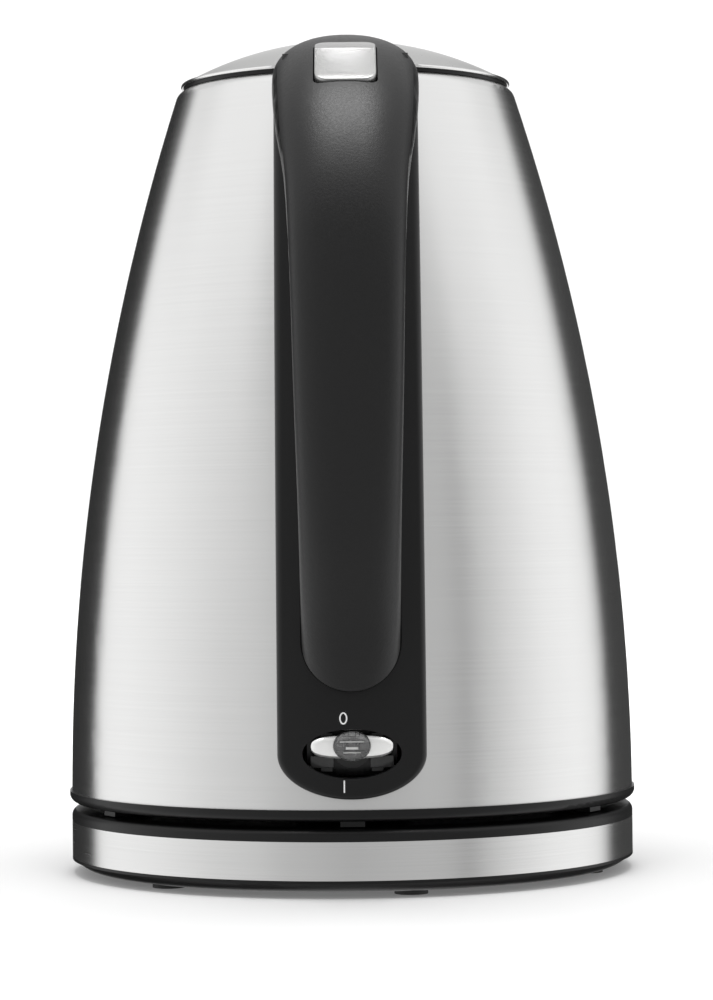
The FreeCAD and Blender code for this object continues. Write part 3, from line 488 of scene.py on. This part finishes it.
@dataclass
class BackPanel:
    """Black panel down the back of the jug, with soft outer edges.

    The sizes are in millimetres.
    """

    half: float = 19.6
    low_centre: float = 38.1
    low_drop: float = 11.75
    top: float = 222.15
    depth: float = PANEL_DEPTH
    edge_round: float = 1.7
    rows: int = 170
    curve_share: float = 0.22
    columns: tuple[float, ...] = (0.0, 0.16, 0.32, 0.48, 0.62, 0.74, 0.83, 0.89, 0.915, 0.93, 0.945,
                                  0.96, 0.975, 0.9875, 1.0)
    hole_half: float = 13.0
    hole_rise: float = 6.45
    hole_level: float = 38.35
    pocket_half: float = 13.3
    pocket_level: float = 67.8
    pocket_top: float = 84.0
    pocket_back: float = -79.3

    def build(self) -> None:
        """Model the panel and hand it over."""
        bpy.ops.object.select_all(action="DESELECT")
        count = 2 * (len(self.columns) - 1)
        bpy.ops.mesh.primitive_grid_add(x_subdivisions=count, y_subdivisions=self.rows, size=2.0)
        piece = named("panel_cover")
        bpy.ops.object.mode_set(mode="EDIT")
        bpy.ops.mesh.select_all(action="SELECT")
        bpy.ops.mesh.extrude_region_move(TRANSFORM_OT_translate={"value": (0, 0, 1.0)})
        bpy.ops.object.mode_set(mode="OBJECT")
        reshape(piece, self._lay)
        tidy_mesh(piece)
        carve(piece, self._switch_hole())
        carve(piece, self._pocket())
        tidy_mesh(piece, 30.0)
        hand_over(piece, PALETTE.black_satin, "jug", "black_plastic", "back_panel")

    def _lay(self, place: Vector) -> Vector:
        """Move a grid point onto the jug, by its column, its row and its layer."""
        steps = len(self.columns) - 1
        column = round(abs(place.x) * steps)
        share = self.columns[min(column, steps)] * (1 if place.x >= 0 else -1)
        row = (place.y + 1) / 2
        bottom = self.low_centre - self.low_drop
        if row < self.curve_share:
            angle = (1 - row / self.curve_share) * math.pi / 2
            level = self.low_centre - self.low_drop * math.sin(angle)
            width = max(math.cos(angle), 0.0)
        else:
            above = (row - self.curve_share) / (1 - self.curve_share)
            level = self.low_centre + above * (self.top - self.low_centre)
            width = 1.0
        x = self.half * width * share
        level = max(level, bottom)
        y = -math.sqrt((jug_radius(level) + self._thickness(x, level, place.z)) ** 2 - x * x)
        return Vector((x, y, level)) * MM

    def _thickness(self, x: float, level: float, layer: float) -> float:
        """How far a point stands off the jug, less near the rounded outer edge."""
        if layer < 0.5:
            return 0.05
        if level >= self.low_centre:
            inward = self.half - abs(x)
        else:
            reach = math.hypot(x / self.half, (level - self.low_centre) / self.low_drop)
            slope = math.hypot(x / self.half ** 2, (level - self.low_centre) / self.low_drop ** 2)
            inward = (1 - reach) * reach / max(slope, 1e-9)
        if inward >= self.edge_round:
            return self.depth
        short = self.edge_round - max(inward, 0.0)
        return self.depth - self.edge_round + math.sqrt(self.edge_round ** 2 - short ** 2)

    def _switch_hole(self) -> bpy.types.Object:
        """Oval cutter of the switch opening."""
        bpy.ops.object.select_all(action="DESELECT")
        bpy.ops.mesh.primitive_cylinder_add(vertices=96, radius=1.0, depth=30 * MM,
                                            rotation=(math.pi / 2, 0, 0),
                                            location=(0, -80 * MM, self.hole_level * MM))
        cutter = named("hole_cutter")
        cutter.scale = (self.hole_half * MM, self.hole_rise * MM, 1.0)
        bpy.ops.object.transform_apply(location=True, rotation=True, scale=True)
        return cutter

    def _pocket(self) -> bpy.types.Object:
        """Round-ended cutter of the handle's pocket."""
        bpy.ops.object.select_all(action="DESELECT")
        depth = 30.0
        bpy.ops.mesh.primitive_cylinder_add(
            vertices=96, radius=self.pocket_half * MM, depth=depth * MM, rotation=(math.pi / 2, 0, 0),
            location=(0, (self.pocket_back - depth / 2) * MM, self.pocket_level * MM))
        cutter = named("pocket_cutter")
        bpy.ops.object.transform_apply(location=True, rotation=True, scale=True)
        stretch = (self.pocket_top - self.pocket_level) * MM
        reshape(cutter, lambda place: place + Vector((0, 0, stretch))
                if place.z > self.pocket_level * MM + 1e-6 else place)
        return cutter


@dataclass
class SwitchMarks:
    """White "0" and "I" beside the switch.

    The sizes are in millimetres.
    """

    off_x: float = -2.2
    off_level: float = 47.65
    off_half: float = 1.05
    off_rise: float = 1.58
    on_x: float = -2.1
    on_level: float = 29.9
    on_rise: float = 1.62
    stroke: float = 0.36
    sunk: float = 0.12
    proud: float = 0.06

    def build(self) -> None:
        """Model both marks and hand them over."""
        for piece in (self._off_mark(), self._on_mark()):
            hand_over(piece, PALETTE.mark_white, "jug", "black_plastic")

    def _front(self, level: float) -> float:
        """Where the panel's face is at a level, in metres."""
        return -(jug_radius(level) + PANEL_DEPTH + self.proud) * MM

    def _off_mark(self) -> bpy.types.Object:
        """The oval ring."""
        bpy.ops.object.select_all(action="DESELECT")
        bpy.ops.mesh.primitive_circle_add(vertices=64, radius=1.0, fill_type="NGON",
                                          rotation=(math.pi / 2, 0, 0))
        piece = named("mark_off")
        piece.scale = (self.off_half * MM, self.off_rise * MM, 1.0)
        bpy.ops.object.transform_apply(location=True, rotation=True, scale=True)
        bpy.ops.object.mode_set(mode="EDIT")
        bpy.ops.mesh.select_all(action="SELECT")
        bpy.ops.mesh.inset(thickness=self.stroke * MM)
        bpy.ops.mesh.delete(type="FACE")
        bpy.ops.mesh.select_all(action="SELECT")
        bpy.ops.mesh.extrude_region_move(TRANSFORM_OT_translate={"value": (0, self.sunk * MM, 0)})
        bpy.ops.object.mode_set(mode="OBJECT")
        settle(piece, Matrix.Translation(
            (self.off_x * MM, self._front(self.off_level), self.off_level * MM)))
        self._lean(piece, self.off_level)
        tidy_mesh(piece)
        return piece

    def _on_mark(self) -> bpy.types.Object:
        """The upright stroke."""
        bpy.ops.object.select_all(action="DESELECT")
        bpy.ops.mesh.primitive_plane_add(size=1.0, rotation=(math.pi / 2, 0, 0))
        piece = named("mark_on")
        piece.scale = (self.stroke * MM, 2 * self.on_rise * MM, 1.0)
        bpy.ops.object.transform_apply(location=True, rotation=True, scale=True)
        bpy.ops.object.mode_set(mode="EDIT")
        bpy.ops.mesh.select_all(action="SELECT")
        bpy.ops.mesh.bevel(offset=0.15 * MM, segments=3, affect="VERTICES")
        bpy.ops.mesh.select_all(action="SELECT")
        bpy.ops.mesh.extrude_region_move(TRANSFORM_OT_translate={"value": (0, self.sunk * MM, 0)})
        bpy.ops.object.mode_set(mode="OBJECT")
        settle(piece, Matrix.Translation(
            (self.on_x * MM, self._front(self.on_level), self.on_level * MM)))
        self._lean(piece, self.on_level)
        tidy_mesh(piece)
        return piece

    def _lean(self, piece: bpy.types.Object, level: float) -> None:
        """Let the mark follow the panel's curve up and down."""
        reshape(piece, lambda place: place - Vector(
            (0, (jug_radius(place.z / MM) - jug_radius(level)) * MM, 0)))


@dataclass
class RockerSwitch:
    """Rocker with its white wings, domed lens, lamp reflector, prism bars and the ledges below.

    The sizes are in millimetres.
    """

    pivot_y: float = -73.0
    level: float = 38.35
    tilt: float = -11.2
    front: float = -84.2
    back: float = -79.0
    half: float = 10.7
    rise: float = 2.75
    fullness: float = 2.7
    lens_half: float = 5.0
    lens_rise: float = 4.0
    lens_bulge: float = 1.9
    bars: tuple[tuple[float, float, float], ...] = ((6.4, 0.3, 0.85), (3.2, 0.65, -0.75),
                                                    (4.6, 0.25, -1.9))
    bar_depth: float = 0.5
    bar_stand: float = 0.8
    rib_levels: tuple[float, ...] = (-2.2, -1.2, -0.4, 0.4, 1.2, 2.2)
    rib_columns: tuple[float, ...] = (-1.9, -0.9, 0.9, 1.9)
    ledge_size: tuple[float, float, float] = (6.2, 0.5, 3.2)
    ledge_x: float = 7.9
    ledge_y: float = -77.75
    ledge_drop: float = 2.4

    def build(self) -> None:
        """Model every piece of the switch and hand them over."""
        hand_over(self._wings(), PALETTE.lever_bright, "switch", "lever_silver", "switch_lever")
        hand_over(self._lens(), PALETTE.clear, "switch", "clear_lens", "switch_lens")
        hand_over(self._reflector(), PALETTE.reflector, "switch", "lever_silver")
        hand_over(self._bars(), PALETTE.lever_bright, "switch", "lever_silver")
        for side in (-1, 1):
            hand_over(self._ledge(side), PALETTE.smoked, "jug", "black_gloss")

    def _tilted(self) -> Matrix:
        """The rest tilt about the lever's pivot."""
        pivot = Vector((0, self.pivot_y, self.level)) * MM
        return (Matrix.Translation(pivot) @ Matrix.Rotation(math.radians(self.tilt), 4, "X")
                @ Matrix.Translation(-pivot))

    def _bar(self, name: str, half: float, rise: float, front: float, back: float,
             level: float) -> bpy.types.Object:
        """Oval bar along Y, closed at both ends."""
        bpy.ops.object.select_all(action="DESELECT")
        bpy.ops.mesh.primitive_cylinder_add(vertices=96, radius=1.0, depth=(back - front) * MM,
                                            rotation=(math.pi / 2, 0, 0),
                                            location=(0, (front + back) / 2 * MM, level * MM))
        piece = named(name)
        piece.scale = (half * MM, rise * MM, 1.0)
        bpy.ops.object.transform_apply(location=True, rotation=True, scale=True)
        return piece

    def _wings(self) -> bpy.types.Object:
        """White oval rocker face with rounded edges and a crowned front, and its stem."""
        piece = self._bar("rocker_wings", 1.0 / MM, 1.0 / MM, self.front + 0.5, self.back, 0.0)
        reshape(piece, self._fuller)
        bpy.ops.object.mode_set(mode="EDIT")
        pick(piece, "FACE", lambda face: face.normal.y < -0.9)
        bpy.ops.mesh.inset(thickness=0.45 * MM)
        bpy.ops.transform.translate(value=(0, -0.3 * MM, 0))
        bpy.ops.mesh.inset(thickness=0.8 * MM)
        bpy.ops.transform.translate(value=(0, -0.2 * MM, 0))
        pick(piece, "FACE", lambda face: face.normal.y > 0.9)
        bpy.ops.mesh.inset(thickness=0.6 * MM)
        bpy.ops.mesh.extrude_region_move(TRANSFORM_OT_translate={"value": (0, 0.3 * MM, 0)})
        bpy.ops.transform.resize(value=(0.35, 1.0, 0.7), center_override=(0, 0, self.level * MM))
        bpy.ops.mesh.extrude_region_move(TRANSFORM_OT_translate={"value": (0, 3.5 * MM, 0)})
        bpy.ops.object.mode_set(mode="OBJECT")
        tidy_mesh(piece, 50.0)
        settle(piece, self._tilted())
        return piece

    def _fuller(self, place: Vector) -> Vector:
        """Turn the unit round bar's outline into the rocker's fuller oval."""
        power = 2.0 / self.fullness
        x = math.copysign(abs(place.x) ** power, place.x) * self.half * MM
        z = math.copysign(abs(place.z) ** power, place.z) * self.rise * MM
        return Vector((x, place.y, z + self.level * MM))

    def _lens(self) -> bpy.types.Object:
        """Clear oval dome over the lamp."""
        bpy.ops.object.select_all(action="DESELECT")
        bpy.ops.mesh.primitive_uv_sphere_add(segments=64, ring_count=32, radius=1.0,
                                             rotation=(math.pi / 2, 0, 0))
        piece = named("rocker_lens")
        bpy.ops.object.transform_apply(location=True, rotation=True, scale=True)
        bpy.ops.object.mode_set(mode="EDIT")
        bpy.ops.mesh.select_all(action="SELECT")
        bpy.ops.mesh.bisect(plane_co=(0, 0, 0), plane_no=(0, 1, 0), use_fill=True, clear_outer=True)
        bpy.ops.object.mode_set(mode="OBJECT")
        piece.scale = (self.lens_half * MM, self.lens_bulge * MM, self.lens_rise * MM)
        piece.location = (0, (self.front - 0.02) * MM, self.level * MM)
        bpy.ops.object.transform_apply(location=True, rotation=True, scale=True)
        tidy_mesh(piece, 40.0)
        settle(piece, self._tilted())
        return piece

    def _reflector(self) -> bpy.types.Object:
        """Ribbed grey reflector seen through the lens."""
        piece = self._bar("lamp_reflector", self.lens_half - 0.35, self.lens_rise - 0.35,
                          self.front - 0.5, self.front + 0.25, self.level)
        bpy.ops.object.mode_set(mode="EDIT")
        for step in self.rib_levels:
            bpy.ops.mesh.select_all(action="SELECT")
            bpy.ops.mesh.bisect(plane_co=(0, 0, (self.level + step) * MM), plane_no=(0, 0, 1))
        for step in self.rib_columns:
            bpy.ops.mesh.select_all(action="SELECT")
            bpy.ops.mesh.bisect(plane_co=(step * MM, 0, 0), plane_no=(1, 0, 0))
        pick(piece, "FACE", self._is_rib)
        bpy.ops.mesh.inset(thickness=0.08 * MM, use_individual=True)
        bpy.ops.transform.translate(value=(0, 0.4 * MM, 0))
        bpy.ops.object.mode_set(mode="OBJECT")
        tidy_mesh(piece, 20.0)
        settle(piece, self._tilted())
        return piece

    def _is_rib(self, face: bmesh.types.BMFace) -> bool:
        """Tell whether a front face of the reflector is one of the sunk cells."""
        middle = face.calc_center_median() / MM
        cell = int(math.floor((middle.z - self.level + 10.4) / 0.8)) + (1 if abs(middle.x) < 0.9 else 0)
        return face.normal.y < -0.9 and cell % 2 == 0

    def _bars(self) -> bpy.types.Object:
        """Bright prism bars inside the lens, joined as one piece."""
        made = []
        for width, height, rise in self.bars:
            bar = block("prism_bars", (width, self.bar_depth, height),
                        (0, self.front - self.bar_stand, self.level + rise))
            soften(bar, 0.12, 2)
            made.append(bar)
        for bar in made:
            bar.select_set(True)
        bpy.context.view_layer.objects.active = made[0]
        bpy.ops.object.join()
        piece = lone(made[0])
        tidy_mesh(piece)
        settle(piece, self._tilted())
        return piece

    def _ledge(self, side: int) -> bpy.types.Object:
        """Smoked ledge under one wing, inside the opening."""
        piece = block(f"ledge_{'left' if side < 0 else 'right'}", self.ledge_size,
                      (side * self.ledge_x, self.ledge_y, self.level - self.ledge_drop))
        soften(piece, 0.2, 3)
        tidy_mesh(piece)
        return piece


@dataclass
class CarriedNodes:
    """The frame's own nodes that stay as they are, and their finishes."""

    finishes: dict[str, Finish] = field(default_factory=lambda: {
        "base_bottom_cover": PALETTE.black_satin, "base_top_cover": PALETTE.black_satin,
        "base_band": PALETTE.band_steel, "cord_gland": PALETTE.black_satin,
        "base_screws": PALETTE.zinc, "base_connector": PALETTE.black_gloss,
        "base_centre_contact": PALETTE.brass, "base_ring_contact": PALETTE.brass,
        "jug_connector": PALETTE.black_gloss, "jug_centre_pin": PALETTE.brass,
        "jug_contact_ring": PALETTE.brass, "body_shell": PALETTE.body_steel,
        "spout": PALETTE.body_steel, "spout_filter_frame": PALETTE.black_satin,
        "spout_filter_mesh": PALETTE.inner_steel, "mouth_ring": PALETTE.black_satin,
        "jug_bottom_ring": PALETTE.black_satin, "heater_plate": PALETTE.inner_steel,
        "plate_seal": PALETTE.silicone, "diffuser_plate": PALETTE.aluminium,
        "heating_element": PALETTE.element, "control_unit": PALETTE.beige,
        "control_screws": PALETTE.zinc, "bimetal_disc": PALETTE.inner_steel,
        "lid_cap": PALETTE.lid_steel, "lid_inner": PALETTE.black_satin,
        "lid_seal": PALETTE.silicone, "back_panel": PALETTE.black_satin,
        "grip_outer": PALETTE.grip_black, "grip_inner": PALETTE.black_satin,
        "grip_screws": PALETTE.zinc, "lid_button": PALETTE.silver_paint,
        "latch_slider": PALETTE.black_gloss, "button_spring": PALETTE.zinc,
        "lid_hinge_pins": PALETTE.inner_steel, "switch_lever": PALETTE.lever_bright,
        "switch_lens": PALETTE.clear, "indicator_lamp": PALETTE.neon,
        "lever_pin": PALETTE.inner_steel, "switch_unit": PALETTE.black_gloss,
        "steam_disc": PALETTE.smoked})

    def build(self) -> None:
        """Dress every node of the frame."""
        for name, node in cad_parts.items():
            dress(node, self.finishes.get(name, PALETTE.rubber))
            LOG.info("dressed %s", name)


@dataclass
class Studio:
    """Camera, lights, sky and floor round the kettle."""

    distance: float = 0.9177
    height: float = 0.0999
    side: float = -0.00054
    turn: float = -0.162
    tilt: float = 0.321
    roll: float = 0.575
    lens: float = 115.13
    # Painted shadow: the floor's emission is low near the kettle and high far off, rising over the
    # reach below in metres.
    painted_floor_glow: tuple[float, float] = (0.14, 0.78)
    painted_shadow_reach: tuple[float, float] = (0.10, 0.48)
    floor_grey: float = 0.66
    seen_white: float = 1.1
    band_gain: float = 1.25
    overhead: tuple[float, float] = (0.72, 13.5)
    fold_light: tuple[float, float] = (0.14, 0.6)
    ceiling_rise: tuple[float, float] = (0.30, 0.52)
    ceiling_front: tuple[float, float] = (-0.76, -0.46)
    ceiling_levels: tuple[float, float] = (0.40, 1.1)
    ceiling_back: tuple[float, float] = (0.0, 0.5)
    ceiling_drop: float = 0.70
    bands: tuple[tuple[float, float], ...] = (
        (-180, 0.75), (-174, 0.70), (-169, 0.02), (-132, 0.03), (-125.5, 0.80), (-120, 0.88),
        (-104, 0.88), (-87, 0.82), (-70, 0.73), (-55, 0.64), (-38, 0.58), (-28, 0.50), (0, 0.42),
        (30, 0.46), (40, 0.44), (47, 0.33), (56, 0.50), (70, 0.68), (87, 0.84), (104, 0.90),
        (118, 0.84), (124, 0.62), (131, 0.05), (169, 0.04), (174, 0.70), (180, 0.75))

    def build(self) -> None:
        """Set up the view and the light."""
        self._camera()
        self._sky()
        self._floor()
        self._lamps()

    def _camera(self) -> None:
        """Place the camera in front of the handle, a little below half height."""
        data = bpy.data.cameras.new("camera")
        data.lens = self.lens
        data.sensor_width = 36.0
        camera = bpy.data.objects.new("camera", data)
        bpy.context.scene.collection.objects.link(camera)
        turns = (Matrix.Rotation(math.radians(self.turn), 4, "Z")
                 @ Matrix.Rotation(math.radians(self.tilt), 4, "X")
                 @ Matrix.Rotation(math.radians(self.roll), 4, "Y")
                 @ Matrix.Rotation(math.radians(90.0), 4, "X"))
        camera.matrix_world = Matrix.Translation((self.side, -self.distance, self.height)) @ turns
        bpy.context.scene.camera = camera

    def _sky(self) -> None:
        """White surroundings for the eye, and a banded soft studio for reflections."""
        world = bpy.data.worlds.new("studio")
        bpy.context.scene.world = world
        bpy.context.scene.view_settings.view_transform = "Standard"
        world.use_nodes = True
        tree = world.node_tree
        tree.nodes.clear()
        output = tree.nodes.new("ShaderNodeOutputWorld")
        seen = tree.nodes.new("ShaderNodeBackground")
        seen.inputs["Color"].default_value = (1.0, 1.0, 1.0, 1.0)
        seen.inputs["Strength"].default_value = self.seen_white
        mirrored = tree.nodes.new("ShaderNodeBackground")
        path = tree.nodes.new("ShaderNodeLightPath")
        mix = tree.nodes.new("ShaderNodeMixShader")
        tree.links.new(path.outputs["Is Camera Ray"], mix.inputs["Fac"])
        tree.links.new(mirrored.outputs["Background"], mix.inputs[1])
        tree.links.new(seen.outputs["Background"], mix.inputs[2])
        tree.links.new(mix.outputs["Shader"], output.inputs["Surface"])
        place = tree.nodes.new("ShaderNodeTexCoord")
        split = tree.nodes.new("ShaderNodeSeparateXYZ")
        tree.links.new(place.outputs["Generated"], split.inputs["Vector"])
        above = self._spread(tree, split.outputs["Z"], *self.ceiling_rise, 0.0, 1.0)
        ceiling = self._spread(tree, split.outputs["Y"], *self.ceiling_front, *self.ceiling_levels)
        drop = self._spread(tree, split.outputs["Y"], *self.ceiling_back, 1.0, self.ceiling_drop)
        shaded = tree.nodes.new("ShaderNodeMath")
        shaded.operation = "MULTIPLY"
        tree.links.new(ceiling, shaded.inputs[0])
        tree.links.new(drop, shaded.inputs[1])
        blend = tree.nodes.new("ShaderNodeMix")
        blend.data_type = "RGBA"
        tree.links.new(above, blend.inputs["Factor"])
        tree.links.new(self._bands(tree, split), blend.inputs[6])
        tree.links.new(shaded.outputs["Value"], blend.inputs[7])
        tree.links.new(blend.outputs[2], mirrored.inputs["Color"])

    def _spread(self, tree: bpy.types.NodeTree, source: bpy.types.NodeSocket, low: float,
                high: float, start: float, end: float) -> bpy.types.NodeSocket:
        """Map a value smoothly from one range to another.

        Args:
            tree: The world's node tree.
            source: The value's socket.
            low: Where the change begins.
            high: Where it ends.
            start: The result below the range.
            end: The result above it.

        Returns:
            The socket of the result.
        """
        spread = tree.nodes.new("ShaderNodeMapRange")
        spread.interpolation_type = "SMOOTHSTEP"
        spread.inputs["From Min"].default_value = low
        spread.inputs["From Max"].default_value = high
        spread.inputs["To Min"].default_value = start
        spread.inputs["To Max"].default_value = end
        tree.links.new(source, spread.inputs["Value"])
        return spread.outputs["Result"]

    def _bands(self, tree: bpy.types.NodeTree, split: bpy.types.Node) -> bpy.types.NodeSocket:
        """Brightness of the studio by compass direction.

        Args:
            tree: The world's node tree.
            split: The node that gives a direction's X, Y and Z.

        Returns:
            The socket of the brightness.
        """
        angle = tree.nodes.new("ShaderNodeMath")
        angle.operation = "ARCTAN2"
        back = tree.nodes.new("ShaderNodeMath")
        back.operation = "MULTIPLY"
        back.inputs[1].default_value = -1.0
        tree.links.new(split.outputs["Y"], back.inputs[0])
        tree.links.new(split.outputs["X"], angle.inputs[0])
        tree.links.new(back.outputs["Value"], angle.inputs[1])
        share = tree.nodes.new("ShaderNodeMapRange")
        share.inputs["From Min"].default_value = -math.pi
        share.inputs["From Max"].default_value = math.pi
        tree.links.new(angle.outputs["Value"], share.inputs["Value"])
        ramp = tree.nodes.new("ShaderNodeValToRGB")
        ramp.color_ramp.interpolation = "LINEAR"
        while len(ramp.color_ramp.elements) > 1:
            ramp.color_ramp.elements.remove(ramp.color_ramp.elements[0])
        for index, (degrees, level) in enumerate(self.bands):
            position = (degrees + 180) / 360
            stop = ramp.color_ramp.elements[0] if index == 0 else ramp.color_ramp.elements.new(position)
            stop.position = position
            stop.color = (level, level, level, 1.0)
        tree.links.new(share.outputs["Result"], ramp.inputs["Fac"])
        brighten = tree.nodes.new("ShaderNodeVectorMath")
        brighten.operation = "SCALE"
        brighten.inputs["Scale"].default_value = self.band_gain
        tree.links.new(ramp.outputs["Color"], brighten.inputs[0])
        return brighten.outputs["Vector"]

    def _floor(self) -> None:
        """White table top whose glow rises away from the kettle: a painted soft shadow round the base
        that fades into the white surroundings.
        """
        bpy.ops.object.select_all(action="DESELECT")
        bpy.ops.mesh.primitive_plane_add(size=8.0, location=(0, 0, 0))
        floor = bpy.context.object
        floor.name = "floor"
        paint = bpy.data.materials.new("white_floor")
        paint.use_nodes = True
        shader = paint.node_tree.nodes["Principled BSDF"]
        shader.inputs["Base Color"].default_value = (*(self.floor_grey,) * 3, 1.0)
        shader.inputs["Roughness"].default_value = 0.9
        shader.inputs["Specular IOR Level"].default_value = 0.1
        shader.inputs["Emission Color"].default_value = (1.0, 1.0, 1.0, 1.0)
        place = paint.node_tree.nodes.new("ShaderNodeTexCoord")
        reach = paint.node_tree.nodes.new("ShaderNodeVectorMath")
        reach.operation = "LENGTH"
        paint.node_tree.links.new(place.outputs["Object"], reach.inputs[0])
        # Painted shadow round the base: the floor glows more with distance from the kettle, so it is
        # darker near it.
        glow = self._spread(paint.node_tree, reach.outputs["Value"], *self.painted_shadow_reach,
                            *self.painted_floor_glow)
        paint.node_tree.links.new(glow, shader.inputs["Emission Strength"])
        floor.data.materials.append(paint)
        floor.visible_glossy = False

    def _lamps(self) -> None:
        """A broad overhead softbox, and a small one behind that lights the button's fold."""
        self._softbox("overhead", (0, -0.25, 1.5), (0, -0.12, 0.22), *self.overhead)
        self._softbox("fold_light", (0, 0.56, 1.32), (0, -0.10, 0.22), *self.fold_light)

    def _softbox(self, name: str, place: Sequence[float], aim: Sequence[float], size: float,
                 power: float) -> None:
        """Add one square area light aimed at a point.

        Args:
            name: The light's name.
            place: Where it hangs, in metres.
            aim: The point that it faces.
            size: The length of its side.
            power: Its power in watts.
        """
        data = bpy.data.lights.new(name, "AREA")
        data.size = size
        data.energy = power
        lamp = bpy.data.objects.new(name, data)
        lamp.visible_camera = False
        bpy.context.scene.collection.objects.link(lamp)
        lamp.location = place
        lamp.rotation_euler = (Vector(aim) - Vector(place)).to_track_quat("-Z", "Y").to_euler()


def main() -> None:
    """Build every part of the picture and hand it over."""
    logging.basicConfig(level=logging.INFO, format="%(message)s")
    CarriedNodes().build()
    for assembly in (LidButton(), LidRim(), BackPanel(), SwitchMarks(), RockerSwitch(), Studio()):
        assembly.build()


if __name__ == "__main__":
    main()
